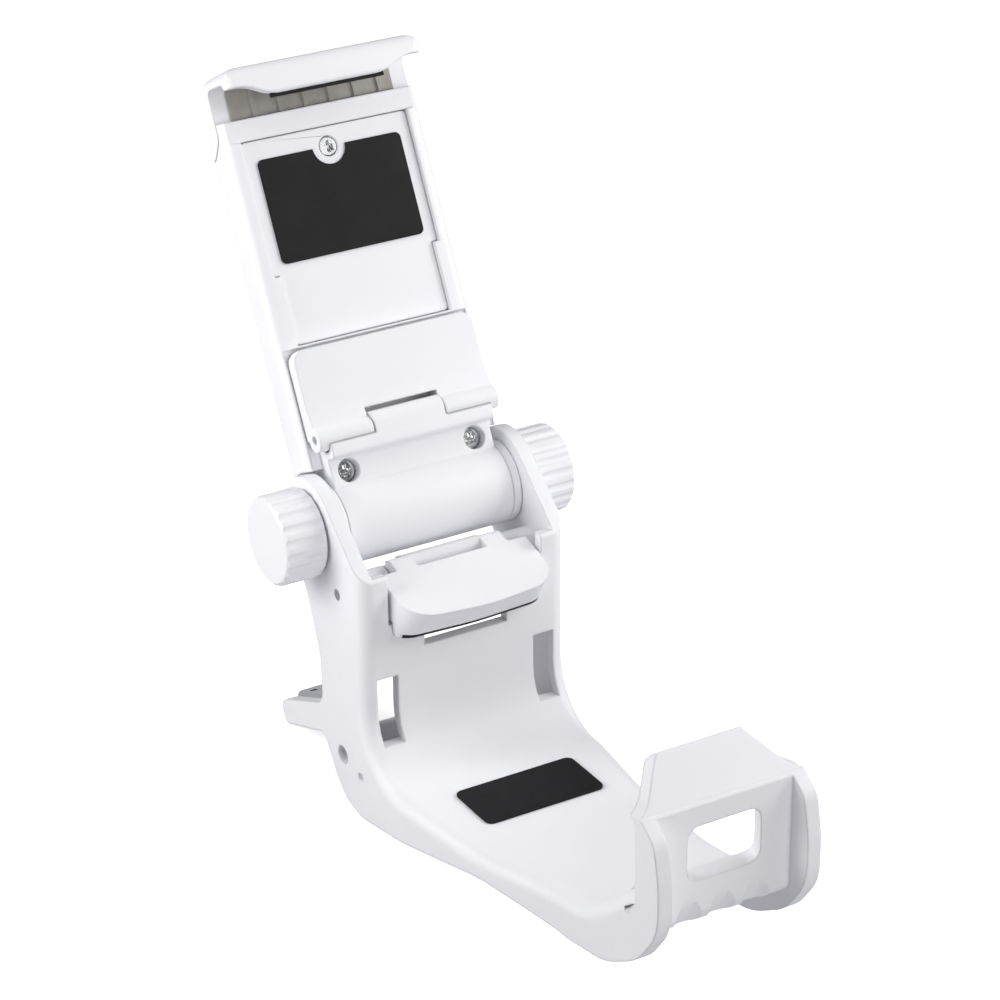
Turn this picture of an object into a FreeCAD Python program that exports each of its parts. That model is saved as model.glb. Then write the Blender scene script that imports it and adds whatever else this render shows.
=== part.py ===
import FreeCAD
import Part
import math
import os

os.makedirs("parts", exist_ok=True)

# Everything is in millimetres. The pieces are drawn about the tilt axis,
# which runs along X; the cradle is drawn upright and then leant back.
LEAN_DEG = 27.64
RUN_GAP = 0.1
FACE_GAP = 0.3
SNUG = 0.05
FAR = 200.0
OVER = 5.0

# Base bracket, half widths.
BASE_HALF = 22.7
EAR_THICK = 2.9
EAR_IN = BASE_HALF - EAR_THICK
ARM_HALF = 17.0
SIDE_SKIN = 2.9
CHEEK_HALF = 16.8
CHEEK_IN = CHEEK_HALF - 2.8
TAPER_FROM = -34.0
TAPER_TO = -80.0
TAPER_R = 40.0

# Base bracket, side outline as (y, z, corner radius).
SKIN = 2.2
EAR_R = 10.6
EAR_FRONT = (-20.0, -3.3)
EAR_REAR = (2.3, -13.4)
WALL_Y = -20.0
FLOOR_Z = -42.5
FLOOR_KNEE = -56.5
FLOOR_RISE = (-90.0, -36.8)
BAY_R = 12.0
SIDE_EDGE_R = 3.2
BOTTOM_KNEE = (-58.0, -47.3)
HEEL = (-12.2, -55.6, 12.0)
HEEL_INNER = (-5.2, -43.0)
FIN_TIP = (13.4, -49.0, 1.5)
LIP_Y = -108.4
LIP_WALL = 2.0
LIP_CREASE_Z = -10.6
LIP_CREASE_R = 1.8
LIP_TOP = (LIP_Y + 8.7, LIP_CREASE_Z + 8.0)
CHEEK_FRONT = LIP_Y - 5.1
CHEEK_TAIL = CHEEK_FRONT + 29.5
FRONT_RUN = [
    (WALL_Y, FLOOR_Z, BAY_R),
    (FLOOR_KNEE, FLOOR_Z, 40.0),
    (FLOOR_RISE[0], FLOOR_RISE[1], 16.0),
    (LIP_Y + LIP_WALL, -23.5, 5.0),
    (LIP_Y + LIP_WALL, LIP_CREASE_Z + 0.6, 0.4),
    (LIP_Y + 1.0, LIP_CREASE_Z + 1.4, 1.2),
    (CHEEK_FRONT + 1.6, LIP_CREASE_Z - 1.8, 4.0),
    (CHEEK_FRONT, -20.0, 20.0),
    (CHEEK_FRONT, -29.5, 12.0),
    (CHEEK_FRONT + 6.3, -38.1, 16.0),
    (CHEEK_FRONT + 16.5, -44.2, 20.0),
    (CHEEK_TAIL, -46.4, 30.0),
    (BOTTOM_KNEE[0], BOTTOM_KNEE[1], 30.0),
]
REAR_RUN = [
    (-3.4, -42.7, 2.5),
    FIN_TIP,
    (15.3, -44.5, 2.0),
    (-3.3, -36.3, 4.0),
    (-2.6, -25.5, 14.0),
]

# Base bracket, the openings in its wall and its side holes.
SHOULDER_Y = WALL_Y + 0.8
SHOULDER_Z = -3.0
NOTCH_HALF = EAR_IN - 3.0
NOTCH_Z = -13.0
WINDOW_HALF = 9.1
WINDOW_Z = -19.3
SLOT_OUT = EAR_IN - 0.3
SLOT_IN = SLOT_OUT - 4.5
SLOT_TOP = -24.2
SLOT_LOW = -37.8
HEEL_HOLE = (-11.0, -44.1, 1.95)
HEEL_PIT = (-18.2, -45.6, 1.0)
PIT_DEEP = 1.5
CHEEK_PIT = [
    (CHEEK_FRONT + 10.5, -29.2, 0.1),
    (CHEEK_FRONT + 7.2, -26.8, 0),
    (CHEEK_FRONT + 9.2, -30.0, 0.4),
    (CHEEK_FRONT + 10.1, -30.0, 0.4),
]
CHEEK_PIT_DEEP = 12.0

# Front lip between the cheeks.
LIP_TOP_CORNER = (CHEEK_HALF - 8.8, LIP_TOP[1] + 0.6, 6.0)
LIP_SIDE_CORNER = (CHEEK_HALF - 2.4, LIP_CREASE_Z + 2.0, 6.0)
LIP_SIDE_END = LIP_CREASE_Z + 0.8
LIP_WINDOW_HALF = CHEEK_IN - 6.4
LIP_WINDOW_TOP = -13.9
LIP_WINDOW_LOW = -24.9
LIP_WINDOW_R = 2.5
RECESS_Z = -33.2
RECESS_KNEE = (LIP_Y + 22.4, -42.9)
RECESS_END = (LIP_Y + 30.4, -48.6)
CAVITY_END = RECESS_KNEE[0] + 2.0
SCALLOP_R = 3.3
SCALLOP_DEEP = 2.0
SCALLOP_PITCH = 7.0
SCALLOP_DROP_DEG = 65.0
SCALLOP_REACH = 12.0

# Rubber pad on the floor.
PAD_HALF = 12.9
PAD_FRONT = -50.1
PAD_REAR = -37.1
PAD_R = 1.5
PAD_PROUD = 0.5

# Latch, drawn about its own pin as (y, z, corner radius).
PIN_Y = -10.7
PIN_Z = -9.0
PIN_R = 1.1
PIN_BOSS_R = 3.2
LATCH_HALF = NOTCH_HALF - 0.6
LATCH_REAR_HALF = LATCH_HALF - 4.0
LATCH_MID_HALF = 8.6
LATCH_NOTCH_Y = -4.5
LATCH_TOP = (-1.5, 5.0, 1.0)
LATCH_TOP_FALL = 0.267
LATCH_SKIRT_Z = -6.4
LATCH_SKIRT_BACK = -9.7
LATCH_UNDER_Z = -3.2
LATCH_REAR = (3.1, 3.2, 2.2)
LATCH_ROLL_R = 3.1
LATCH_NOSE_LOW = (-12.9, 60.0)
LATCH_CORNER_LOW = (-11.9, 4.0)
LATCH_NOSE_HIGH = (-23.3, 25.0)
LATCH_CORNER_HIGH = (-20.3, 9.0)
LATCH_SLOT_HALF = LATCH_MID_HALF - 1.0
LATCH_SLOT_FRONT = -4.5
LATCH_SLOT_BACK_HIGH = -1.8
LATCH_SLOT_BACK_LOW = -3.3
LATCH_PAD_HALF = LATCH_HALF - 1.2
LATCH_PAD_DEEP = 1.0
SPRING_COIL_R = 2.05
SPRING_WIRE_R = 0.35
SPRING_TURNS = 6
SPRING_HALF = 3.0
SPRING_LEG = 2.2
SPRING_ROOM = 0.15
SPRING_SIDE_ROOM = 0.4

# Steel tongue beside the left rear fin.
TONGUE_WIDE = 8.7
TONGUE_THICK = 1.9
TONGUE_SKIN = 0.4
TONGUE_LONG = 12.0
TONGUE_END = (FIN_TIP[0], FIN_TIP[1] + 5.3)
TONGUE_DROP_DEG = 20.5
TONGUE_HOLE = 1.4
TONGUE_HOLE_X = 2.1
TONGUE_HOLE_BACK = 3.2

# Hinge stack, from the middle out: barrel, washers, ears and knobs.
WASHER_OUT = EAR_IN - RUN_GAP
WASHER_IN = WASHER_OUT - 1.7
BARREL_HALF = WASHER_IN - RUN_GAP
BARREL_R = 8.27
KNOB_IN = BASE_HALF + FACE_GAP
KNOB_OUT = KNOB_IN + 8.8
KNOB_R = 8.87
KNOB_EDGE = 0.7
FLUTES = 20
FLUTE_R = 0.95
FLUTE_AT = KNOB_R + 0.48
BOLT_R = 2.0
HEX_FLATS = 7.0
HEX_IN = KNOB_IN + 0.2
HEX_OUT = KNOB_OUT - 2.9
BOLT_END = HEX_OUT - FACE_GAP

# Cradle frame, drawn upright: n is toward the phone, s is up the cradle.
BLOCK_HALF = BARREL_HALF - FACE_GAP
FRAME_HALF = BLOCK_HALF + 3.5
FRAME_BACK = -6.45
FRAME_FRONT = 2.9
FRAME_EDGE_R = 2.4
FRAME_CUT_R = EAR_R + 0.4
FRAME_FOOT = 4.0
FRAME_SEAM = 72.5
STRIP_TOP = FRAME_SEAM + 6.4
STRIP_FRONT = 2.5
STRIP_RISE = 3.5
CAVITY_HALF = FRAME_HALF - 5.4
CAVITY_BACK = FRAME_BACK + SKIN
CAVITY_LOW = 23.0
PANEL_BACK = 0.3
PANEL_FACE = PANEL_BACK + 1.8
PANEL_HALF = FRAME_HALF - 3.25
PANEL_LOW_HALF = PANEL_HALF - 1.25
PANEL_TOP = FRAME_SEAM + 2.0
PANEL_HEAD_LONG = 26.1
PANEL_STEP = PANEL_TOP - PANEL_HEAD_LONG
PANEL_GAP = 0.15
BOSS_S = PANEL_TOP - 3.8
BOSS_R = 2.8

# Shelf, its pin and its knuckles.
SHELF_PIN_N = 5.65
SHELF_PIN_S = 16.3
SHELF_PIN_R = 0.9
ROLL_R = 2.4
SHELF_BAY_HALF = FRAME_HALF - 1.2
SHELF_HALF = SHELF_BAY_HALF - FACE_GAP
SHELF_BACK = PANEL_FACE + 0.35
SHELF_LONG = 17.4
SHELF_THICK = 2.8
SHELF_WEB = 6.5
SHELF_TOP = SHELF_PIN_S + SHELF_LONG
SHELF_FRONT = SHELF_BACK + SHELF_THICK
SHELF_BAY_TOP = SHELF_TOP + 0.5
SHELF_CORNER_R = 2.6
SHELF_PIN_SHORT = 1.2
PANEL_LOW = SHELF_BAY_TOP + 0.6
KNUCKLE_HALF = 7.6
KNUCKLE_TOP = SHELF_PIN_S + 3.0
SHELF_NOTCH_HALF = KNUCKLE_HALF + FACE_GAP
SHELF_NOTCH_TOP = KNUCKLE_TOP + 0.9

# Hinge block and its two screws.
BLOCK_FRONT = 5.05
BLOCK_BACK = -1.0
LEDGE_FRONT = SHELF_PIN_N + 2.5
LEDGE_LOW = SHELF_PIN_S - 4.1
BLOCK_TOP = SHELF_PIN_S - 1.6
SCREW_X = BLOCK_HALF - 3.8
SCREW_S = LEDGE_LOW - 2.8
COUNTERBORE_R = 2.3
COUNTERBORE_DEEP = 3.4
BLOCK_HEAD_R = 1.9
BLOCK_HEAD_HIGH = 1.5
BLOCK_SHANK_R = 1.0
BLOCK_SHANK_END = FRAME_BACK + 1.25

# Panel screw and pad.
SCREW_RING_R = 2.0
SCREW_RING_DEEP = 1.3
PANEL_HEAD_R = 1.75
PANEL_HEAD_HIGH = 1.1
PANEL_SHANK_R = 0.85
PANEL_SHANK_END = CAVITY_BACK + 0.85
PANEL_PAD_HALF = PANEL_HALF - 2.35
PANEL_PAD_LOW = PANEL_STEP + 1.9
PANEL_PAD_TOP = BOSS_S
PANEL_PAD_R = 1.2
PANEL_PAD_PROUD = 0.4
PANEL_PAD_NOTCH_R = SCREW_RING_R + 1.5
CROSS_REACH = 1.1
CROSS_WING = 0.34
CROSS_DEEP = 0.9

# Jaw, its lining and lip pad, and the two pull springs.
JAW_GAP = 0.25
JAW_TOP = FRAME_SEAM + 15.8
JAW_ROOF = JAW_TOP - 2.7
JAW_WALL = PANEL_BACK - JAW_GAP
JAW_REAR_TOP = -2.4
JAW_LIP_BACK = JAW_WALL + 7.75
JAW_LIP_FRONT = JAW_LIP_BACK + 1.95
JAW_LIP_LOW = JAW_ROOF - 3.7
JAW_LIP_END = JAW_LIP_LOW + 2.4
JAW_LIP_RISE = 9.0
JAW_LIP_RAMP = 5.0
JAW_LIP_CURVE_R = 9.0
JAW_EDGE_R = 3.4
LINING_HALF = FRAME_HALF - 3.5
LINING_TOP = JAW_ROOF - 0.2
LINING_LOW = LINING_TOP - 6.2
LINING_BACK = JAW_WALL - 0.6
LINING_FACE = JAW_WALL + 0.3
RIB_COUNT = 6
RIB_FIRST = 5.1 - LINING_HALF
RIB_LAST = LINING_HALF - 3.1
RIB_PITCH = (RIB_LAST - RIB_FIRST) / (RIB_COUNT - 1)
RIB_WIDE = 0.8
RIB_PROUD = 0.45
LIP_PAD_DEEP = 0.8
LIP_PAD_PROUD = 0.6
TONGUE_HALF = CAVITY_HALF - 0.15
TONGUE_TAIL = CAVITY_LOW + 15.0
TONGUE_RAIL = 2.0
TONGUE_PLATE = 2.05
JAW_SLOT_HALF = BOSS_R + 0.4
JAW_SLOT_LOW = TONGUE_TAIL + 4.5
JAW_SLOT_TOP = BOSS_S + BOSS_R + 0.7
PULL_X = 9.0
PULL_N = (CAVITY_BACK + PANEL_BACK) / 2
PULL_LOW = CAVITY_LOW + 1.0
PULL_TOP = TONGUE_TAIL - 0.5
PULL_COIL_R = 1.45
PULL_WIRE_R = 0.3
PULL_TURNS = 12
PULL_HOOK = 1.2


def yz(y, z):
    return FreeCAD.Vector(0, y, z)


def xy(x, y):
    return FreeCAD.Vector(x, y, 0)


def xz(x, z):
    return FreeCAD.Vector(x, 0, z)


def ns(n, s):
    return FreeCAD.Vector(0, -n, s)


def outline(corners, plane):
    """A closed wire through (a, b, radius) corners, each rounded by its radius."""
    points = [plane(a, b) for a, b, radius in corners]
    count = len(points)
    stops = []
    for i in range(count):
        here = points[i]
        back = (points[i - 1] - here).normalize()
        on = (points[(i + 1) % count] - here).normalize()
        radius = corners[i][2]
        if radius == 0:
            stops.append((here, None, here))
            continue
        half = back.getAngle(on) / 2
        reach = radius / math.tan(half)
        middle = (back + on).normalize()
        middle = here + middle * (radius / math.sin(half) - radius)
        stops.append((here + back * reach, middle, here + on * reach))
    edges = []
    for i in range(count):
        start, middle, end = stops[i]
        if middle is not None:
            edges.append(Part.Arc(start, middle, end).toShape())
        following = stops[(i + 1) % count][0]
        if (following - end).Length > 1e-6:
            edges.append(Part.makeLine(end, following))
    return Part.Wire(edges)


def across(corners, x0, x1, plane=yz):
    """A side outline carried along X."""
    face = Part.Face(outline(corners, plane))
    face.translate(FreeCAD.Vector(x0, 0, 0))
    return face.extrude(FreeCAD.Vector(x1 - x0, 0, 0))


def upward(corners, z0, z1):
    """A plan outline carried along Z."""
    face = Part.Face(outline(corners, xy))
    face.translate(FreeCAD.Vector(0, 0, z0))
    return face.extrude(FreeCAD.Vector(0, 0, z1 - z0))


def forward(corners, n0, n1):
    """A front outline carried from n0 to n1 toward the phone."""
    face = Part.Face(outline(corners, xz))
    face.translate(FreeCAD.Vector(0, -n0, 0))
    return face.extrude(FreeCAD.Vector(0, n0 - n1, 0))


def block(x0, x1, y0, y1, z0, z1):
    corner = FreeCAD.Vector(x0, y0, z0)
    return Part.makeBox(x1 - x0, y1 - y0, z1 - z0, corner)


def slab(x0, x1, n0, n1, s0, s1):
    """A box in the upright cradle."""
    return block(x0, x1, -n1, -n0, s0, s1)


def rod(radius, x0, x1, y=0, z=0):
    """A cylinder along X."""
    start = FreeCAD.Vector(x0, y, z)
    return Part.makeCylinder(radius, x1 - x0, start, FreeCAD.Vector(1, 0, 0))


def peg(radius, x, s, n0, n1):
    """A cylinder square to the front of the cradle."""
    start = FreeCAD.Vector(x, -n0, s)
    return Part.makeCylinder(radius, n1 - n0, start, FreeCAD.Vector(0, -1, 0))


def rectangle(half, low, high, radius):
    return [
        (-half, low, radius),
        (half, low, radius),
        (half, high, radius),
        (-half, high, radius),
    ]


def hexagon(flats, x0, x1):
    reach = flats / math.sqrt(3)
    corners = []
    for i in range(6):
        turn = math.radians(60 * i)
        corners.append((reach * math.cos(turn), reach * math.sin(turn), 0))
    return across(corners, x0, x1)


def mirrored(shape):
    return shape.mirror(FreeCAD.Vector(0, 0, 0), FreeCAD.Vector(1, 0, 0))


def ear_tangent(point, side):
    """Where a line from a (y, z) point touches the ear circle."""
    away = math.hypot(point[0], point[1])
    heading = math.atan2(point[1], point[0])
    turn = heading + side * math.acos(EAR_R / away)
    return EAR_R * math.cos(turn), EAR_R * math.sin(turn)


def side_outline():
    front = ear_tangent(EAR_FRONT, -1)
    rear = ear_tangent(EAR_REAR, 1)
    corners = [(front[0], front[1], 0), (EAR_FRONT[0], EAR_FRONT[1], 1.6)]
    corners += FRONT_RUN
    corners += [HEEL]
    corners += REAR_RUN
    corners += [(EAR_REAR[0], EAR_REAR[1], 8.0), (rear[0], rear[1], 0)]
    return corners


def half_plan(side, arm, front):
    half = [
        (side, FAR, 0),
        (side, TAPER_FROM, TAPER_R),
        (arm, TAPER_TO, TAPER_R),
        (front, CHEEK_FRONT, 0),
        (front, -FAR, 0),
    ]
    return [(-x, y, radius) for x, y, radius in half] + list(reversed(half))


def base_cavity():
    """The hollow behind the wall and between the floor and bottom skins."""
    rise = (FLOOR_RISE[1] - FLOOR_Z) / (FLOOR_RISE[0] - FLOOR_KNEE)
    end_z = FLOOR_Z - SKIN + rise * (CAVITY_END - FLOOR_KNEE)
    corners = [
        (WALL_Y + SKIN, FAR, 0),
        (WALL_Y + SKIN, FLOOR_Z - SKIN, BAY_R + SKIN),
        (FLOOR_KNEE, FLOOR_Z - SKIN, 40.0),
        (CAVITY_END, end_z, 0.5),
        (CAVITY_END + 1.0, RECESS_KNEE[1] + SKIN, 0.3),
        (RECESS_END[0] + 1.0, BOTTOM_KNEE[1] + SKIN, 3.0),
        (BOTTOM_KNEE[0], BOTTOM_KNEE[1] + SKIN, 30.0),
        (HEEL[0] - 1.0, HEEL[1] + SKIN, 10.0),
        (HEEL_INNER[0], HEEL_INNER[1], 1.0),
        (FAR, HEEL_INNER[1] - FAR / 2, 0),
        (FAR, FAR, 0),
    ]
    hollow = across(corners, -BASE_HALF, BASE_HALF)
    inside = half_plan(EAR_IN, ARM_HALF - SIDE_SKIN, CHEEK_IN)
    return hollow.common(upward(inside, -FAR, FAR))


def lip_hook():
    """The sloped upper part of the front lip."""
    reach_y = LIP_TOP[0] - LIP_Y
    reach_z = LIP_TOP[1] - LIP_CREASE_Z
    run = math.hypot(reach_y, reach_z)
    in_y = LIP_WALL * reach_z / run
    in_z = -LIP_WALL * reach_y / run
    foot = LIP_CREASE_Z - 4.0
    corners = [
        (LIP_Y, foot, 0),
        (LIP_Y, LIP_CREASE_Z, LIP_CREASE_R),
        (LIP_TOP[0], LIP_TOP[1], 0.7),
        (LIP_TOP[0] + in_y, LIP_TOP[1] + in_z, 0.7),
        (LIP_Y + LIP_WALL, LIP_CREASE_Z - 0.8, 1.0),
        (LIP_Y + LIP_WALL, foot, 0),
    ]
    hook = across(corners, -CHEEK_HALF, CHEEK_HALF)
    half = [(CHEEK_HALF, foot, 0), (CHEEK_HALF, LIP_SIDE_END, 0), LIP_SIDE_CORNER, LIP_TOP_CORNER]
    front = half + [(-x, z, radius) for x, z, radius in reversed(half)]
    return hook.common(forward(front, 0.0, FAR))


def lip_recess():
    """What is cut away between the cheeks, in front of and under the lip."""
    corners = [
        (LIP_Y, 0.0, 0),
        (LIP_Y, RECESS_Z, 3.0),
        (RECESS_KNEE[0], RECESS_KNEE[1], 6.0),
        (RECESS_END[0], RECESS_END[1], 0),
        (RECESS_END[0], -FAR, 0),
        (-FAR, -FAR, 0),
        (-FAR, 0.0, 0),
    ]
    return across(corners, -CHEEK_IN, CHEEK_IN)


def scallops():
    """Three round finger grooves across the lip's lower front edge."""
    drop = math.radians(SCALLOP_DROP_DEG)
    along = yz(math.cos(drop), -math.sin(drop))
    out = yz(-math.sin(drop), -math.cos(drop))
    start = yz(LIP_Y, RECESS_Z) + out * (SCALLOP_R - SCALLOP_DEEP) - along * SCALLOP_REACH
    grooves = []
    for i in (-1, 0, 1):
        place = start + FreeCAD.Vector(i * SCALLOP_PITCH, 0, 0)
        grooves.append(Part.makeCylinder(SCALLOP_R, 2 * SCALLOP_REACH, place, along))
    return Part.makeCompound(grooves)


def side_edges():
    """What rounding takes off the side edges of the back wall and the floor."""
    end = LIP_Y + LIP_WALL
    corners = [
        (WALL_Y, FAR, 0),
        (WALL_Y, FLOOR_Z, BAY_R),
        (FLOOR_KNEE, FLOOR_Z, 40.0),
        (FLOOR_RISE[0], FLOOR_RISE[1], 16.0),
        (end, -23.5, 0),
        (end, -FAR, 0),
        (WALL_Y + BAY_R, -FAR, 0),
        (WALL_Y + BAY_R, FAR, 0),
    ]
    sharp = across(corners, -BASE_HALF, BASE_HALF)
    sharp = sharp.common(upward(half_plan(BASE_HALF, ARM_HALF, CHEEK_HALF), -FAR, FAR))
    low = FLOOR_RISE[1] + SIDE_EDGE_R
    edges = []
    for edge in sharp.Edges:
        middle = edge.CenterOfMass
        if TAPER_TO < middle.y < FLOOR_KNEE and FLOOR_Z - 1.0 < middle.z < low and abs(middle.x) > ARM_HALF:
            edges.append(edge)
    return sharp.cut(sharp.makeFillet(SIDE_EDGE_R, edges))


def base_bracket():
    body = across(side_outline(), -BASE_HALF, BASE_HALF)
    body = body.fuse(rod(EAR_R, -BASE_HALF, BASE_HALF))
    body = body.common(upward(half_plan(BASE_HALF, ARM_HALF, CHEEK_HALF), -FAR, FAR))
    body = body.cut(side_edges())
    body = body.cut(base_cavity())
    body = body.cut(block(-EAR_IN, EAR_IN, SHOULDER_Y, FAR, SHOULDER_Z, FAR))
    front = WALL_Y - OVER
    back = WALL_Y + SKIN + OVER
    body = body.cut(block(-NOTCH_HALF, NOTCH_HALF, front, FAR, NOTCH_Z, FAR))
    body = body.cut(block(-WINDOW_HALF, WINDOW_HALF, front, back, WINDOW_Z, NOTCH_Z + OVER))
    for side in (-1, 1):
        low = min(side * SLOT_IN, side * SLOT_OUT)
        body = body.cut(block(low, low + SLOT_OUT - SLOT_IN, front, back, SLOT_LOW, SLOT_TOP))
    body = body.cut(lip_recess())
    body = body.fuse(lip_hook())
    body = body.cut(scallops())
    window = [
        (-LIP_WINDOW_HALF, LIP_WINDOW_LOW, LIP_WINDOW_R),
        (LIP_WINDOW_HALF, LIP_WINDOW_LOW, LIP_WINDOW_R),
        (LIP_WINDOW_HALF, LIP_WINDOW_TOP, LIP_WINDOW_R),
        (-LIP_WINDOW_HALF, LIP_WINDOW_TOP, LIP_WINDOW_R),
    ]
    body = body.cut(forward(window, -LIP_Y - LIP_WALL - OVER, -LIP_Y + OVER))
    for side in (-1, 1):
        boss_in = LATCH_REAR_HALF + FACE_GAP
        low = min(side * boss_in, side * EAR_IN)
        body = body.fuse(rod(PIN_BOSS_R, low, low + EAR_IN - boss_in, PIN_Y, PIN_Z))
    body = body.cut(rod(BOLT_R + SNUG, -FAR, FAR))
    body = body.cut(rod(PIN_R, -FAR, FAR, PIN_Y, PIN_Z))
    body = body.cut(rod(HEEL_HOLE[2], -FAR, FAR, HEEL_HOLE[0], HEEL_HOLE[1]))
    for start in (-BASE_HALF, BASE_HALF - PIT_DEEP):
        body = body.cut(rod(HEEL_PIT[2], start, start + PIT_DEEP, HEEL_PIT[0], HEEL_PIT[1]))
    for start in (-CHEEK_HALF, CHEEK_HALF - CHEEK_PIT_DEEP):
        body = body.cut(across(CHEEK_PIT, start, start + CHEEK_PIT_DEEP))
    return body.removeSplitter()


def floor_pad():
    corners = [
        (-PAD_HALF, PAD_FRONT, PAD_R),
        (PAD_HALF, PAD_FRONT, PAD_R),
        (PAD_HALF, PAD_REAR, PAD_R),
        (-PAD_HALF, PAD_REAR, PAD_R),
    ]
    return upward(corners, FLOOR_Z, FLOOR_Z + PAD_PROUD)


def latch_pin():
    return rod(PIN_R, -BASE_HALF, BASE_HALF, PIN_Y, PIN_Z)


def latch_plan(nose, corner, z):
    """The latch seen from above at one height: a bowed front and a notch beside each rear corner."""
    half = [
        (LATCH_HALF, corner[0], corner[1]),
        (LATCH_HALF, LATCH_NOTCH_Y, 0.5),
        (LATCH_REAR_HALF, LATCH_NOTCH_Y, 0.4),
        (LATCH_REAR_HALF, LATCH_REAR[0] + OVER, 0),
    ]
    corners = [(0.0, nose[0], nose[1])] + half + [(-x, y, radius) for x, y, radius in reversed(half)]
    wire = outline(corners, xy)
    wire.translate(FreeCAD.Vector(0, 0, z))
    return wire


def latch_shell():
    """The latch's outer shape, with a skirt that leans in toward its foot."""
    low = latch_plan(LATCH_NOSE_LOW, LATCH_CORNER_LOW, LATCH_SKIRT_Z)
    high = latch_plan(LATCH_NOSE_HIGH, LATCH_CORNER_HIGH, LATCH_TOP[1])
    front = LATCH_NOSE_HIGH[0] - OVER
    front_z = LATCH_TOP[1] + LATCH_TOP_FALL * (front - LATCH_TOP[0])
    side = [
        LATCH_TOP,
        (front, front_z, 0),
        (front, LATCH_SKIRT_Z, 0),
        (LATCH_SKIRT_BACK, LATCH_SKIRT_Z, 0.3),
        (LATCH_SKIRT_BACK, LATCH_UNDER_Z, 0.3),
        (LATCH_REAR[0], LATCH_UNDER_Z, 3.0),
        LATCH_REAR,
    ]
    return Part.makeLoft([low, high], True, True).common(across(side, -LATCH_HALF, LATCH_HALF))


def at_pin(shape):
    shape.translate(yz(PIN_Y, PIN_Z))
    return shape


def latch():
    body = latch_shell()
    wide = LATCH_HALF - LATCH_MID_HALF
    for side in (-1, 1):
        low = min(side * LATCH_MID_HALF, side * LATCH_HALF)
        corner = block(low, low + wide, 0.0, FAR, -FAR, FAR)
        body = body.cut(corner.cut(rod(LATCH_ROLL_R, low, low + wide)))
    slot = [
        (LATCH_SLOT_FRONT, FAR, 0),
        (LATCH_SLOT_BACK_HIGH, FAR, 0),
        (LATCH_SLOT_BACK_HIGH, LATCH_TOP[1], 0),
        (LATCH_SLOT_BACK_LOW, 0.0, 0),
        (LATCH_SLOT_FRONT, 0.0, 0),
    ]
    body = body.cut(across(slot, -LATCH_SLOT_HALF, LATCH_SLOT_HALF))
    room = SPRING_COIL_R + SPRING_WIRE_R + SPRING_ROOM
    side_room = SPRING_HALF + SPRING_WIRE_R + SPRING_SIDE_ROOM
    body = body.cut(rod(room, -side_room, side_room))
    body = body.cut(block(-side_room, side_room, -room, FAR, -FAR, 0.0))
    body = body.cut(rod(PIN_R + RUN_GAP / 2, -FAR, FAR))
    return at_pin(body.cut(latch_strip()).removeSplitter())


def latch_strip():
    top = LATCH_SKIRT_Z + LATCH_PAD_DEEP
    foot = block(-LATCH_PAD_HALF, LATCH_PAD_HALF, -FAR, LATCH_SKIRT_BACK, LATCH_SKIRT_Z, top)
    return latch_shell().common(foot)


def latch_pad():
    """The rubber strip under the skirt."""
    return at_pin(latch_strip())


def coil(radius, wire, length, turns):
    """A closed coil along Z from the origin."""
    path = Part.makeHelix(length / turns, length, radius)
    ring = Part.Circle(FreeCAD.Vector(radius, 0, 0), FreeCAD.Vector(0, 1, 0), wire)
    return Part.Wire(path.Edges).makePipeShell([Part.Wire([ring.toShape()])], True, True)


def latch_spring():
    """A coil round the latch pin with one straight leg at each end."""
    body = coil(SPRING_COIL_R, SPRING_WIRE_R, 2 * SPRING_HALF, SPRING_TURNS)
    for end, way in ((0.0, -1.0), (2 * SPRING_HALF, 1.0)):
        start = FreeCAD.Vector(SPRING_COIL_R, 0, end)
        leg = Part.makeCylinder(SPRING_WIRE_R, SPRING_LEG, start, FreeCAD.Vector(0, way, 0))
        body = body.fuse(leg)
    body.rotate(FreeCAD.Vector(0, 0, 0), FreeCAD.Vector(0, 1, 0), 90)
    body.translate(FreeCAD.Vector(-SPRING_HALF, 0, 0))
    return at_pin(body)


def steel_tongue():
    half = TONGUE_WIDE / 2
    thick = TONGUE_THICK / 2
    outer = upward([(x, y, thick * 0.98) for x, y, r in rectangle(half, -thick, thick, 0)], 0, TONGUE_LONG)
    inner_half = half - TONGUE_SKIN
    inner_thick = thick - TONGUE_SKIN
    inner = upward(
        [(x, y, inner_thick * 0.98) for x, y, r in rectangle(inner_half, -inner_thick, inner_thick, 0)],
        -OVER, TONGUE_LONG - TONGUE_SKIN)
    body = outer.cut(inner)
    for side in (-1, 1):
        middle = side * TONGUE_HOLE_X
        body = body.cut(block(middle - TONGUE_HOLE / 2, middle + TONGUE_HOLE / 2, 0.0, OVER,
                              TONGUE_HOLE_BACK - TONGUE_HOLE / 2, TONGUE_HOLE_BACK + TONGUE_HOLE / 2))
    body.rotate(FreeCAD.Vector(0, 0, 0), FreeCAD.Vector(1, 0, 0), 90 - TONGUE_DROP_DEG)
    body.translate(FreeCAD.Vector(-EAR_IN + half, TONGUE_END[0], TONGUE_END[1]))
    return body


def knob(side):
    body = Part.makeCylinder(KNOB_R, KNOB_OUT - KNOB_IN, FreeCAD.Vector(KNOB_IN, 0, 0),
                             FreeCAD.Vector(1, 0, 0))
    ends = [e for e in body.Edges if e.Curve.TypeId == "Part::GeomCircle"]
    body = body.makeChamfer(KNOB_EDGE, ends)
    for i in range(FLUTES):
        turn = 2 * math.pi * i / FLUTES
        body = body.cut(rod(FLUTE_R, KNOB_IN - OVER, KNOB_OUT + OVER,
                            FLUTE_AT * math.cos(turn), FLUTE_AT * math.sin(turn)))
    body = body.cut(hexagon(HEX_FLATS + 2 * SNUG, KNOB_IN - OVER, HEX_OUT + RUN_GAP))
    return mirrored(body) if side < 0 else body


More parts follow.
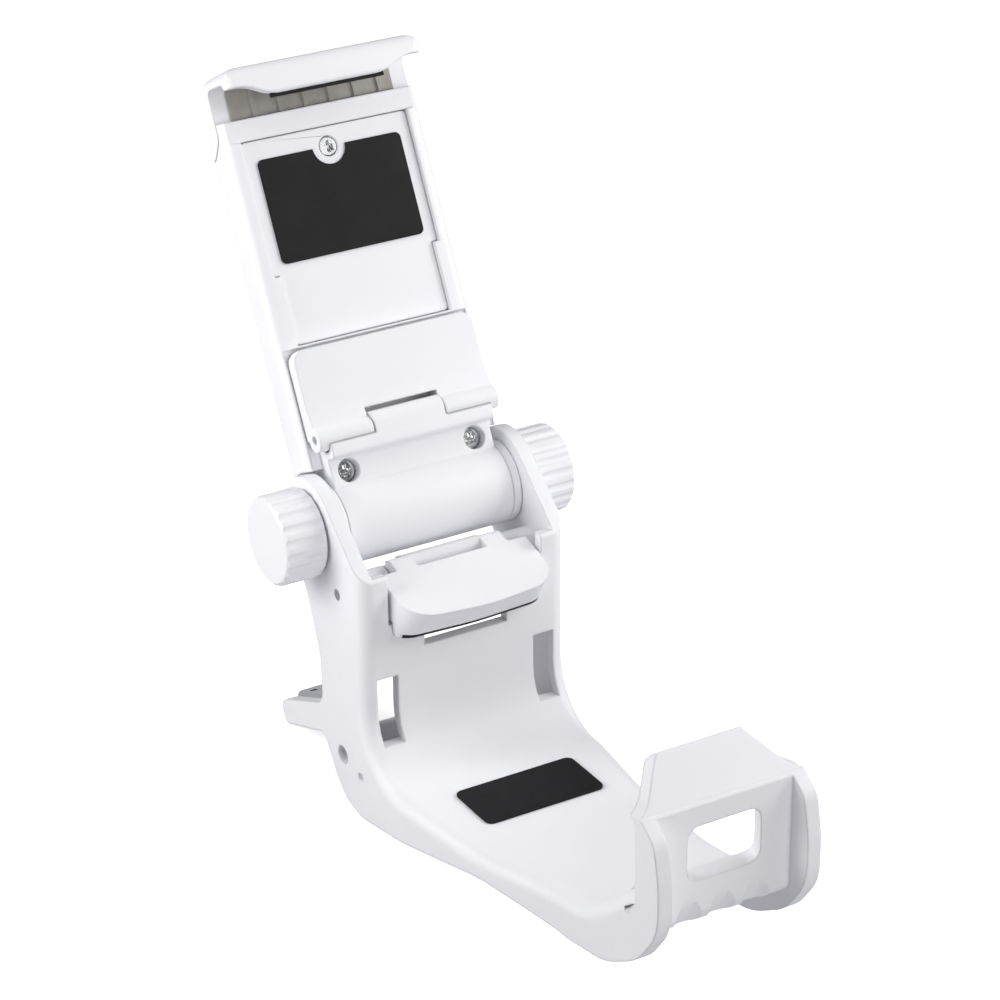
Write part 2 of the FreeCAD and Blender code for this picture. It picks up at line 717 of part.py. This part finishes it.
def tilt_bolt():
    body = rod(BOLT_R, -HEX_OUT, BOLT_END)
    return body.fuse(mirrored(hexagon(HEX_FLATS, HEX_IN, HEX_OUT))).removeSplitter()


def clamp_nut():
    return hexagon(HEX_FLATS, HEX_IN, HEX_OUT).cut(rod(BOLT_R + SNUG, 0.0, FAR))


def washer(side):
    ring = rod(BARREL_R, WASHER_IN, WASHER_OUT).cut(rod(BOLT_R + SNUG, 0.0, FAR))
    return mirrored(ring) if side < 0 else ring


def hinge_block():
    body = rod(BARREL_R, -BARREL_HALF, BARREL_HALF)
    profile = [
        (BLOCK_BACK, 0.0, 0),
        (BLOCK_FRONT, 0.0, 0),
        (BLOCK_FRONT, LEDGE_LOW, 0.6),
        (LEDGE_FRONT, LEDGE_LOW, 0.8),
        (LEDGE_FRONT, SHELF_PIN_S, 0),
        (BLOCK_BACK, SHELF_PIN_S, 0),
    ]
    body = body.fuse(across(profile, -BLOCK_HALF, BLOCK_HALF, ns))
    body = body.cut(slab(-FAR, FAR, -FAR, SHELF_PIN_N, BLOCK_TOP, FAR))
    body = body.cut(rod(ROLL_R + FACE_GAP, -FAR, FAR, -SHELF_PIN_N, SHELF_PIN_S))
    knuckle = [
        (SHELF_PIN_N - ROLL_R, LEDGE_LOW, 0),
        (SHELF_PIN_N + ROLL_R, LEDGE_LOW, 0.6),
        (SHELF_PIN_N + ROLL_R, KNUCKLE_TOP, ROLL_R - 0.05),
        (SHELF_PIN_N - ROLL_R, KNUCKLE_TOP, ROLL_R - 0.05),
    ]
    body = body.fuse(across(knuckle, -KNUCKLE_HALF, KNUCKLE_HALF, ns))
    body = body.cut(rod(SHELF_PIN_R + SNUG, -FAR, FAR, -SHELF_PIN_N, SHELF_PIN_S))
    for side in (-1, 1):
        body = body.cut(peg(COUNTERBORE_R, side * SCREW_X, SCREW_S, BLOCK_FRONT - COUNTERBORE_DEEP, FAR))
        body = body.cut(peg(BLOCK_SHANK_R, side * SCREW_X, SCREW_S, -FAR, FAR))
    body = body.cut(rod(BOLT_R + SNUG, -FAR, FAR))
    return body.removeSplitter()


def block_screws():
    pair = []
    for side in (-1, 1):
        seat = BLOCK_FRONT - COUNTERBORE_DEEP
        head = peg(BLOCK_HEAD_R, side * SCREW_X, SCREW_S, seat, seat + BLOCK_HEAD_HIGH)
        shank = peg(BLOCK_SHANK_R, side * SCREW_X, SCREW_S, BLOCK_SHANK_END, seat + 0.2)
        screw = head.fuse(shank).removeSplitter()
        pair.append(screw.cut(cross_recess(side * SCREW_X, SCREW_S, seat + BLOCK_HEAD_HIGH)))
    return Part.makeCompound(pair)


def cross_recess(x, s, face):
    deep = face - CROSS_DEEP
    one = slab(x - CROSS_REACH, x + CROSS_REACH, deep, face + OVER, s - CROSS_WING, s + CROSS_WING)
    other = slab(x - CROSS_WING, x + CROSS_WING, deep, face + OVER, s - CROSS_REACH, s + CROSS_REACH)
    return one.fuse(other)


def cradle_plan(front):
    """The cradle seen down its length, with its long edges rounded."""
    return [
        (-FRAME_HALF, -front, FRAME_EDGE_R),
        (FRAME_HALF, -front, FRAME_EDGE_R),
        (FRAME_HALF, -FRAME_BACK, FRAME_EDGE_R),
        (-FRAME_HALF, -FRAME_BACK, FRAME_EDGE_R),
    ]


def cradle_frame():
    side = [
        (FRAME_BACK, FRAME_FOOT, 2.0),
        (FRAME_FRONT, FRAME_FOOT, 0),
        (FRAME_FRONT, STRIP_TOP, 0.5),
        (PANEL_BACK, STRIP_TOP, 0.3),
        (PANEL_BACK, FRAME_SEAM + STRIP_RISE, 2.0),
        (PANEL_BACK - 3.8, FRAME_SEAM, 2.0),
        (FRAME_BACK, FRAME_SEAM, 0.5),
    ]
    body = across(side, -FRAME_HALF, FRAME_HALF, ns)
    body = body.common(upward(cradle_plan(FRAME_FRONT), 0.0, FAR))
    around = rod(FRAME_CUT_R, -FAR, FAR).cut(rod(FRAME_CUT_R, -BLOCK_HALF, BLOCK_HALF))
    body = body.cut(around)
    body = body.cut(rod(BARREL_R, -BLOCK_HALF, BLOCK_HALF))
    body = body.cut(slab(-BLOCK_HALF, BLOCK_HALF, BLOCK_BACK, FAR, -FAR, BLOCK_TOP))
    body = body.cut(slab(-SHELF_BAY_HALF, SHELF_BAY_HALF, PANEL_FACE, FAR, -FAR, SHELF_BAY_TOP))
    body = body.cut(rod(ROLL_R + FACE_GAP, -SHELF_BAY_HALF, SHELF_BAY_HALF, -SHELF_PIN_N, SHELF_PIN_S))
    body = body.cut(slab(-CAVITY_HALF, CAVITY_HALF, CAVITY_BACK, PANEL_BACK, CAVITY_LOW, FAR))
    body = body.cut(slab(-PANEL_HALF - PANEL_GAP, PANEL_HALF + PANEL_GAP, PANEL_BACK, FAR,
                         PANEL_STEP - PANEL_GAP, PANEL_TOP + PANEL_GAP))
    body = body.cut(slab(-PANEL_LOW_HALF - PANEL_GAP, PANEL_LOW_HALF + PANEL_GAP, PANEL_BACK, FAR,
                         PANEL_LOW - PANEL_GAP, PANEL_STEP + PANEL_GAP))
    body = body.cut(slab(-FAR, FAR, STRIP_FRONT, FAR, PANEL_TOP + PANEL_GAP, FAR))
    boss = peg(BOSS_R, 0.0, BOSS_S, CAVITY_BACK - SKIN / 2, PANEL_BACK)
    body = body.fuse(boss).cut(peg(PANEL_SHANK_R, 0.0, BOSS_S, PANEL_SHANK_END, FAR))
    for side in (-1, 1):
        body = body.cut(peg(BLOCK_SHANK_R, side * SCREW_X, SCREW_S, BLOCK_SHANK_END, FAR))
    return body.removeSplitter()


def front_panel():
    corners = [
        (-PANEL_LOW_HALF, PANEL_LOW, 0.8),
        (PANEL_LOW_HALF, PANEL_LOW, 0.8),
        (PANEL_LOW_HALF, PANEL_STEP, 0),
        (PANEL_HALF, PANEL_STEP, 0.5),
        (PANEL_HALF, PANEL_TOP, 0.8),
        (-PANEL_HALF, PANEL_TOP, 0.8),
        (-PANEL_HALF, PANEL_STEP, 0.5),
        (-PANEL_LOW_HALF, PANEL_STEP, 0),
    ]
    body = forward(corners, PANEL_BACK, PANEL_FACE)
    body = body.cut(peg(SCREW_RING_R, 0.0, BOSS_S, PANEL_FACE - SCREW_RING_DEEP, FAR))
    return body.cut(peg(PANEL_SHANK_R, 0.0, BOSS_S, -FAR, FAR))


def panel_screw():
    seat = PANEL_FACE - SCREW_RING_DEEP
    head = peg(PANEL_HEAD_R, 0.0, BOSS_S, seat, seat + PANEL_HEAD_HIGH)
    shank = peg(PANEL_SHANK_R, 0.0, BOSS_S, PANEL_SHANK_END, seat + 0.2)
    screw = head.fuse(shank).removeSplitter()
    return screw.cut(cross_recess(0.0, BOSS_S, seat + PANEL_HEAD_HIGH))


def panel_pad():
    corners = rectangle(PANEL_PAD_HALF, PANEL_PAD_LOW, PANEL_PAD_TOP, PANEL_PAD_R)
    body = forward(corners, PANEL_FACE, PANEL_FACE + PANEL_PAD_PROUD)
    return body.cut(peg(PANEL_PAD_NOTCH_R, 0.0, BOSS_S, 0.0, FAR))


def shelf():
    plate = [
        (-SHELF_HALF, SHELF_PIN_S, 0),
        (SHELF_HALF, SHELF_PIN_S, 0),
        (SHELF_HALF, SHELF_TOP, SHELF_CORNER_R),
        (-SHELF_HALF, SHELF_TOP, SHELF_CORNER_R),
    ]
    body = forward(plate, SHELF_BACK, SHELF_FRONT)
    body = body.fuse(rod(ROLL_R, -SHELF_HALF, SHELF_HALF, -SHELF_PIN_N, SHELF_PIN_S))
    web = [
        (SHELF_BACK, SHELF_PIN_S, 0),
        (SHELF_PIN_N, SHELF_PIN_S, 0),
        (SHELF_PIN_N + 0.8, SHELF_PIN_S + 2.2, 0),
        (SHELF_FRONT, SHELF_PIN_S + SHELF_WEB, 0),
        (SHELF_BACK, SHELF_PIN_S + SHELF_WEB, 0),
    ]
    body = body.fuse(across(web, -SHELF_HALF, SHELF_HALF, ns))
    body = body.cut(slab(-SHELF_NOTCH_HALF, SHELF_NOTCH_HALF, -FAR, FAR, -FAR, SHELF_NOTCH_TOP))
    return body.cut(rod(SHELF_PIN_R, -FAR, FAR, -SHELF_PIN_N, SHELF_PIN_S)).removeSplitter()


def shelf_pin():
    end = SHELF_HALF - SHELF_PIN_SHORT
    return rod(SHELF_PIN_R, -end, end, -SHELF_PIN_N, SHELF_PIN_S)


def jaw_shell():
    """The jaw's side outline carried across its full width."""
    low = FRAME_SEAM + JAW_GAP
    back = FRAME_BACK + 0.2
    side = [
        (back, low, 0.6),
        (JAW_WALL - 3.65, low, 2.0),
        (JAW_WALL, low + STRIP_RISE, 2.0),
        (JAW_WALL, JAW_ROOF, 1.5),
        (JAW_LIP_BACK, JAW_ROOF, 1.5),
        (JAW_LIP_BACK, JAW_LIP_LOW, 0.8),
        (JAW_LIP_FRONT, JAW_LIP_LOW, 0.8),
        (JAW_LIP_FRONT, JAW_TOP, 3.0),
        (JAW_REAR_TOP, JAW_TOP, JAW_EDGE_R),
        (back, JAW_TOP - 7.0, 8.0),
    ]
    return across(side, -FRAME_HALF, FRAME_HALF, ns)


def jaw_front_mask():
    """The jaw seen from the front, with its upper corners rounded."""
    return [
        (-FRAME_HALF, 0.0, 0),
        (FRAME_HALF, 0.0, 0),
        (FRAME_HALF, JAW_TOP, JAW_EDGE_R),
        (-FRAME_HALF, JAW_TOP, JAW_EDGE_R),
    ]


def lip_ends():
    """What is cut from the lip so that it rises toward its ends."""
    inner = FRAME_HALF - JAW_LIP_RISE
    cuts = []
    for side in (-1, 1):
        low = JAW_LIP_LOW - OVER
        corners = [
            (side * (inner - JAW_LIP_RAMP), low, 0),
            (side * (inner - JAW_LIP_RAMP), JAW_LIP_LOW, 0),
            (side * inner, JAW_LIP_LOW, JAW_LIP_CURVE_R),
            (side * (inner + JAW_LIP_RAMP), JAW_LIP_END, JAW_LIP_CURVE_R),
            (side * (FRAME_HALF + OVER), JAW_LIP_END, 0),
            (side * (FRAME_HALF + OVER), low, 0),
        ]
        cuts.append(forward(corners, JAW_LIP_BACK - 1.0, FAR))
    return cuts[0].fuse(cuts[1])


def jaw_tongue():
    low = FRAME_SEAM + JAW_GAP + 2.0
    back = CAVITY_BACK + RUN_GAP
    plate = slab(-TONGUE_HALF, TONGUE_HALF, back, back + TONGUE_PLATE, TONGUE_TAIL, low)
    for side in (-1, 1):
        inner = min(side * TONGUE_HALF, side * (TONGUE_HALF - TONGUE_RAIL))
        rail = slab(inner, inner + TONGUE_RAIL, back, PANEL_BACK - RUN_GAP, TONGUE_TAIL, low)
        plate = plate.fuse(rail)
    return plate


def top_jaw():
    body = jaw_shell().common(forward(jaw_front_mask(), -FAR, FAR))
    body = body.common(upward(cradle_plan(JAW_LIP_FRONT), 0.0, FAR))
    body = body.cut(lip_ends())
    body = body.fuse(jaw_tongue())
    body = body.cut(slab(-JAW_SLOT_HALF, JAW_SLOT_HALF, -FAR, FAR, JAW_SLOT_LOW, JAW_SLOT_TOP))
    body = body.cut(slab(-LINING_HALF, LINING_HALF, LINING_BACK, LINING_FACE + 1.0, LINING_LOW, LINING_TOP))
    body = body.cut(lip_pad())
    return body.removeSplitter()


def jaw_lining():
    body = slab(-LINING_HALF, LINING_HALF, LINING_BACK, LINING_FACE, LINING_LOW, LINING_TOP)
    for i in range(RIB_COUNT):
        middle = RIB_FIRST + i * RIB_PITCH
        body = body.fuse(slab(middle - RIB_WIDE / 2, middle + RIB_WIDE / 2, LINING_BACK,
                              LINING_FACE + RIB_PROUD, LINING_LOW, LINING_TOP))
    return body.removeSplitter()


def lip_pad():
    """The rubber strip along the lower edge of the lip."""
    half = FRAME_HALF - JAW_LIP_RISE
    low = JAW_LIP_LOW - LIP_PAD_PROUD
    return slab(-half, half, JAW_LIP_BACK, JAW_LIP_FRONT - 0.9, low, JAW_LIP_LOW + LIP_PAD_DEEP)


def pull_springs():
    pair = []
    for side in (-1, 1):
        low = PULL_LOW + PULL_HOOK
        long = PULL_TOP - PULL_LOW - 2 * PULL_HOOK
        body = coil(PULL_COIL_R, PULL_WIRE_R, long, PULL_TURNS)
        body.translate(FreeCAD.Vector(side * PULL_X, -PULL_N, low))
        pair.append(body)
    return Part.makeCompound(pair)


def leant(shape):
    shape.rotate(FreeCAD.Vector(0, 0, 0), FreeCAD.Vector(1, 0, 0), -LEAN_DEG)
    return shape


def rounded_centre(before, corner, after):
    """The centre of the arc that rounds a (y, z, radius) corner."""
    here = yz(corner[0], corner[1])
    back = (yz(before[0], before[1]) - here).normalize()
    on = (yz(after[0], after[1]) - here).normalize()
    half = back.getAngle(on) / 2
    return here + (back + on).normalize() * (corner[2] / math.sin(half))


def rest_angle():
    """How far the clip tips back to stand on its heel and fin tips."""
    heel = rounded_centre(FRONT_RUN[-1], HEEL, REAR_RUN[0])
    tip = rounded_centre(REAR_RUN[0], FIN_TIP, REAR_RUN[2])
    reach = tip - heel
    rise = (FIN_TIP[2] - HEEL[2]) / reach.Length
    return math.degrees(math.asin(rise) - math.atan2(reach.z, reach.y))


pieces = {
    "base_bracket": base_bracket(),
    "floor_pad": floor_pad(),
    "latch": latch(),
    "latch_pad": latch_pad(),
    "latch_pin": latch_pin(),
    "latch_spring": latch_spring(),
    "steel_tongue": steel_tongue(),
    "left_knob": knob(-1),
    "right_knob": knob(1),
    "tilt_bolt": tilt_bolt(),
    "clamp_nut": clamp_nut(),
    "left_washer": washer(-1),
    "right_washer": washer(1),
    "hinge_block": leant(hinge_block()),
    "block_screws": leant(block_screws()),
    "cradle_frame": leant(cradle_frame()),
    "front_panel": leant(front_panel()),
    "panel_screw": leant(panel_screw()),
    "panel_pad": leant(panel_pad()),
    "shelf": leant(shelf()),
    "shelf_pin": leant(shelf_pin()),
    "top_jaw": leant(top_jaw()),
    "jaw_lining": leant(jaw_lining()),
    "lip_pad": leant(lip_pad()),
    "pull_springs": leant(pull_springs()),
}

for shape in pieces.values():
    shape.rotate(FreeCAD.Vector(0, 0, 0), FreeCAD.Vector(1, 0, 0), rest_angle())
box = Part.makeCompound(list(pieces.values())).optimalBoundingBox()
for name, shape in pieces.items():
    shape.translate(FreeCAD.Vector(0, -box.Center.y, -box.ZMin))
    shape.exportStep("parts/" + name + ".step")
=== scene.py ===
import math

import bpy
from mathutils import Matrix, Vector

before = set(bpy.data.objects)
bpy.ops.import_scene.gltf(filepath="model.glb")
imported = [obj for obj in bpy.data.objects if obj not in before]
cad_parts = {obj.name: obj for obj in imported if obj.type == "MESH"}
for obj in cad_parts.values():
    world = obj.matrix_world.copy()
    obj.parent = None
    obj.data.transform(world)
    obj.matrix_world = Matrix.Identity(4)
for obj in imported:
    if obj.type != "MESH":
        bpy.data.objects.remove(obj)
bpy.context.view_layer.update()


# Camera at the photograph's place, solved from the clip's own edges.
# It looks down at the front and the left side.
CAMERA_PLACE = (-0.28152, -0.41697, 0.43720)
CAMERA_TURN_DEG = (53.7843, -5.2588, -30.1872)
SENSOR_MM = 36.0
LENS_MM = 121.59
NEAREST = 0.01
FARTHEST = 20.0
camera_data = bpy.data.cameras.new("camera")
camera_data.sensor_width = SENSOR_MM
camera_data.lens = LENS_MM
camera_data.clip_start = NEAREST
camera_data.clip_end = FARTHEST
camera = bpy.data.objects.new("camera", camera_data)
camera.location = CAMERA_PLACE
camera.rotation_euler = [math.radians(angle) for angle in CAMERA_TURN_DEG]
bpy.context.scene.collection.objects.link(camera)
bpy.context.scene.camera = camera


# Studio: white paper among soft boxes. Broad ones stand in front and at the right, and three
# small ones round the hinge make the clip brighter there than at its lip. Dome and paper are
# white to the camera and much dimmer to the clip.
AIM = Vector((0.0, 0.02, 0.06))
WHITE = (1.0, 1.0, 1.0, 1.0)
DOME_STRENGTH = 0.1
PAPER_SIZE = 3.0
PAPER_GLOW = 0.55


def linear(code):
    """The scene's own values for a colour in hexadecimal."""
    channels = []
    for i in (0, 2, 4):
        value = int(code[i:i + 2], 16) / 255
        channels.append(value / 12.92 if value <= 0.04045 else ((value + 0.055) / 1.055) ** 2.4)
    return (channels[0], channels[1], channels[2], 1.0)


def add(tree, kind, inputs=None, **settings):
    """Adds a node, and links or sets its inputs."""
    node = tree.nodes.new(kind)
    for name, value in settings.items():
        setattr(node, name, value)
    for name, value in (inputs or {}).items():
        if isinstance(value, bpy.types.NodeSocket):
            tree.links.new(value, node.inputs[name])
        else:
            node.inputs[name].default_value = value
    return node


def start_material(name):
    """A new material, its node tree, its shader and the piece's own coordinates."""
    material = bpy.data.materials.new(name)
    material.use_nodes = True
    tree = material.node_tree
    place = add(tree, "ShaderNodeTexCoord").outputs["Object"]
    return material, tree, tree.nodes["Principled BSDF"], place


def noise(tree, vector, scale, detail):
    """A cloudy pattern."""
    clouds = add(tree, "ShaderNodeTexNoise", {"Vector": vector, "Scale": scale, "Detail": detail})
    return clouds.outputs["Fac"]


def tint(tree, factor, codes, socket):
    """Leads a blend of two colours into a socket."""
    blend = add(tree, "ShaderNodeMix", {
        "Factor": factor, "A": linear(codes[0]), "B": linear(codes[1])}, data_type="RGBA")
    tree.links.new(blend.outputs["Result"], socket)


def camera_sees(tree, other, seen, output):
    """Shows the camera one shader and every other ray another."""
    ray = add(tree, "ShaderNodeLightPath")
    mixed = add(tree, "ShaderNodeMixShader", {
        0: ray.outputs["Is Camera Ray"],
        1: other.outputs[0],
        2: seen.outputs[0],
    })
    tree.links.new(mixed.outputs[0], tree.nodes[output].inputs["Surface"])


def soft_box(name, place, size, watts):
    """Adds a square light that faces the clip."""
    data = bpy.data.lights.new(name, "AREA")
    data.shape = "SQUARE"
    data.size = size
    data.energy = watts
    light = bpy.data.objects.new(name, data)
    light.location = place
    toward_clip = AIM - Vector(place)
    light.rotation_euler = toward_clip.to_track_quat("-Z", "Y").to_euler()
    bpy.context.scene.collection.objects.link(light)


soft_box("front_box", (-0.05, -0.7, 0.35), 0.4, 2.0)
soft_box("right_box", (0.5, -0.3, 0.4), 0.4, 1.0)
soft_box("left_near_box", (-0.33, 0.12, 0.17), 0.25, 1.08)
soft_box("right_near_box", (0.3, -0.05, 0.25), 0.25, 0.8)
soft_box("top_box", (-0.1, 0.15, 0.4), 0.3, 0.42)
bpy.context.scene.view_settings.view_transform = "Standard"
world = bpy.data.worlds.new("studio")
world.use_nodes = True
bpy.context.scene.world = world
tree = world.node_tree
dome = tree.nodes["Background"]
dome.inputs["Color"].default_value = linear("F8F8FD")
dome.inputs["Strength"].default_value = DOME_STRENGTH
backdrop = add(tree, "ShaderNodeBackground", {"Color": WHITE, "Strength": 1.0})
camera_sees(tree, dome, backdrop, "World Output")

floor_paper, tree, paper, place = start_material("white_paper")
paper.inputs["Roughness"].default_value = 0.95
paper.inputs["Specular IOR Level"].default_value = 0.0
tint(tree, noise(tree, place, 900.0, 2.0), ("FEFEFE", "FFFFFF"), paper.inputs["Base Color"])
paper.inputs["Emission Color"].default_value = WHITE
paper.inputs["Emission Strength"].default_value = PAPER_GLOW
bounce = add(tree, "ShaderNodeBsdfDiffuse", {"Color": linear("BCBCBF")})
camera_sees(tree, bounce, paper, "Material Output")
bpy.ops.mesh.primitive_plane_add(size=PAPER_SIZE, location=(0.0, 0.0, 0.0))
floor = bpy.context.object
floor.name = "studio_floor"
floor.data.materials.append(floor_paper)


# White moulding: base bracket, latch, hinge block, cradle, panel, shelf, jaw, washers and
# knobs, injected in satin white ABS with a fine spark texture. Every moulded edge has a small
# radius, which the finished meshes get as a bevel. Lengths are in metres.
JOIN_WITHIN = 0.000002
FLAT_WITHIN_DEG = 0.3
SHARP_FROM_DEG = 32.0
BEVEL_STEPS = 3
FACE_WEIGHT = 80
SEEN_RADIUS = 0.0006
SPARK_DEPTH = 0.00002
MOULDED_RADIUS = {
    "base_bracket": 0.0005,
    "latch": 0.0004,
    "hinge_block": 0.0003,
    "cradle_frame": 0.0003,
    "front_panel": 0.00015,
    "shelf": 0.0003,
    "top_jaw": 0.0004,
    "left_washer": 0.0001,
    "right_washer": 0.0001,
    "left_knob": 0.0002,
    "right_knob": 0.0002,
}
edges_group = bpy.data.node_groups.new("joined_faces", "GeometryNodeTree")
edges_group.interface.new_socket("Geometry", in_out="INPUT", socket_type="NodeSocketGeometry")
edges_group.interface.new_socket("Geometry", in_out="OUTPUT", socket_type="NodeSocketGeometry")
given = add(edges_group, "NodeGroupInput")
joined = add(edges_group, "GeometryNodeMergeByDistance", {
    "Geometry": given.outputs[0], "Distance": JOIN_WITHIN})
smooth = add(edges_group, "GeometryNodeSetShadeSmooth", {"Geometry": joined.outputs[0]}, domain="FACE")
unmarked = add(edges_group, "GeometryNodeSetShadeSmooth", {"Geometry": smooth.outputs[0]}, domain="EDGE")
edges_group.links.new(unmarked.outputs[0], add(edges_group, "NodeGroupOutput").inputs[0])


def soften(node, radius):
    """Rounds the sharp edges of a modelled piece."""
    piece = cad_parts[node]
    piece.modifiers.new("joined faces", "NODES").node_group = edges_group
    flat = piece.modifiers.new("flat faces", "DECIMATE")
    flat.decimate_type = "DISSOLVE"
    flat.angle_limit = math.radians(FLAT_WITHIN_DEG)
    edge = piece.modifiers.new("moulded edge", "BEVEL")
    edge.width = radius
    edge.segments = BEVEL_STEPS
    edge.limit_method = "ANGLE"
    edge.angle_limit = math.radians(SHARP_FROM_DEG)
    edge.use_clamp_overlap = True
    shading = piece.modifiers.new("even shading", "WEIGHTED_NORMAL")
    shading.weight = FACE_WEIGHT


def paint(node, material):
    """Gives every slot of a piece one material."""
    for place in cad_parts[node].material_slots:
        place.material = material


def roughen(tree, shader, pattern, limits, span):
    """Makes the roughness follow a pattern, between two limits."""
    gloss = add(tree, "ShaderNodeMapRange", {
        "Value": pattern, "From Min": span[0], "From Max": span[1],
        "To Min": limits[0], "To Max": limits[1]})
    tree.links.new(gloss.outputs["Result"], shader.inputs["Roughness"])


white_abs, tree, shader, place = start_material("white_abs")
shader.inputs["Specular IOR Level"].default_value = 0.45
tint(tree, noise(tree, place, 45.0, 2.0), ("F1F1F4", "EDEDF1"), shader.inputs["Base Color"])
roughen(tree, shader, noise(tree, place, 220.0, 3.0), (0.35, 0.45), (0.3, 0.7))
rounded = add(tree, "ShaderNodeBevel", {"Radius": SEEN_RADIUS}, samples=6)
relief = add(tree, "ShaderNodeBump", {
    "Height": noise(tree, place, 4500.0, 2.0), "Strength": 0.25, "Distance": SPARK_DEPTH,
    "Normal": rounded.outputs["Normal"]})
tree.links.new(relief.outputs["Normal"], shader.inputs["Normal"])
for node, radius in MOULDED_RADIUS.items():
    soften(node, radius)
    paint(node, white_abs)


# Steel: the tilt bolt and its nut, the two pins, the two kinds of spring, the tongue
# and the screws. Turned, drawn or plated, each with its own gloss.
SMALL_RADIUS = 0.00012


def metal(name, codes, rough, brush):
    """Steel whose colour and gloss vary in streaks."""
    material, tree, shader, place = start_material(name)
    shader.inputs["Metallic"].default_value = 1.0
    stretched = add(tree, "ShaderNodeMapping", {"Vector": place, "Scale": brush})
    streak = noise(tree, stretched.outputs["Vector"], 900.0, 3.0)
    tint(tree, streak, codes, shader.inputs["Base Color"])
    roughen(tree, shader, streak, (rough - 0.06, rough + 0.08), (0.3, 0.7))
    return material


turned_steel = metal("turned_steel", ("A7A8AC", "C3C4C7"), 0.3, (1.0, 6.0, 6.0))
spring_steel = metal("spring_steel", ("8F9094", "B2B3B7"), 0.35, (1.0, 1.0, 1.0))
plated_steel = metal("plated_steel", ("CFD0D4", "E6E7EA"), 0.16, (1.0, 4.0, 4.0))
zinc_plate = metal("zinc_plate", ("E4E5E7", "F0F1F2"), 0.16, (3.0, 3.0, 3.0))
steel_pieces = {
    "tilt_bolt": turned_steel,
    "clamp_nut": turned_steel,
    "latch_pin": turned_steel,
    "shelf_pin": turned_steel,
    "latch_spring": spring_steel,
    "pull_springs": spring_steel,
    "steel_tongue": plated_steel,
    "block_screws": zinc_plate,
    "panel_screw": zinc_plate,
}
for node, material in steel_pieces.items():
    paint(node, material)
for node in ("block_screws", "panel_screw", "tilt_bolt", "clamp_nut"):
    soften(node, SMALL_RADIUS)


# Rubber: the pads on the floor and the panel, and the lines under the latch and the lip.
# Die-cut black sheet with a matt pebbled face. The lip line hangs below the lip's edge, and its black
# there is painted shadow: the dark gap between lip and lining.
PEBBLE_DEPTH = 0.00004
black_rubber, tree, rubber, place = start_material("black_rubber")
rubber.inputs["Specular IOR Level"].default_value = 0.28
dust = noise(tree, place, 150.0, 4.0)
tint(tree, dust, ("0B0B0D", "161618"), rubber.inputs["Base Color"])
roughen(tree, rubber, dust, (0.55, 0.8), (0.0, 1.0))
pebbles = add(tree, "ShaderNodeTexVoronoi", {"Vector": place, "Scale": 2800.0})
relief = add(tree, "ShaderNodeBump", {
    "Height": pebbles.outputs["Distance"], "Strength": 0.35, "Distance": PEBBLE_DEPTH})
tree.links.new(relief.outputs["Normal"], rubber.inputs["Normal"])
# On lip_pad this black is partly a rubber line and partly painted shadow under the lip.
for node in ("floor_pad", "panel_pad", "latch_pad", "lip_pad"):
    soften(node, SMALL_RADIUS)
    paint(node, black_rubber)


# Jaw lining: a ribbed insert in the jaw. Its grey, with a faint cloudy tone, is painted
# shade: the shade that falls on it under the lip.
LINING_RADIUS = 0.0001
lining_painted_shade_grey, tree, lining, place = start_material("lining_painted_shade_grey")
lining.inputs["Roughness"].default_value = 0.65
tint(tree, noise(tree, place, 400.0, 3.0), ("8D8983", "AAA6A0"), lining.inputs["Base Color"])
soften("jaw_lining", LINING_RADIUS)
paint("jaw_lining", lining_painted_shade_grey)
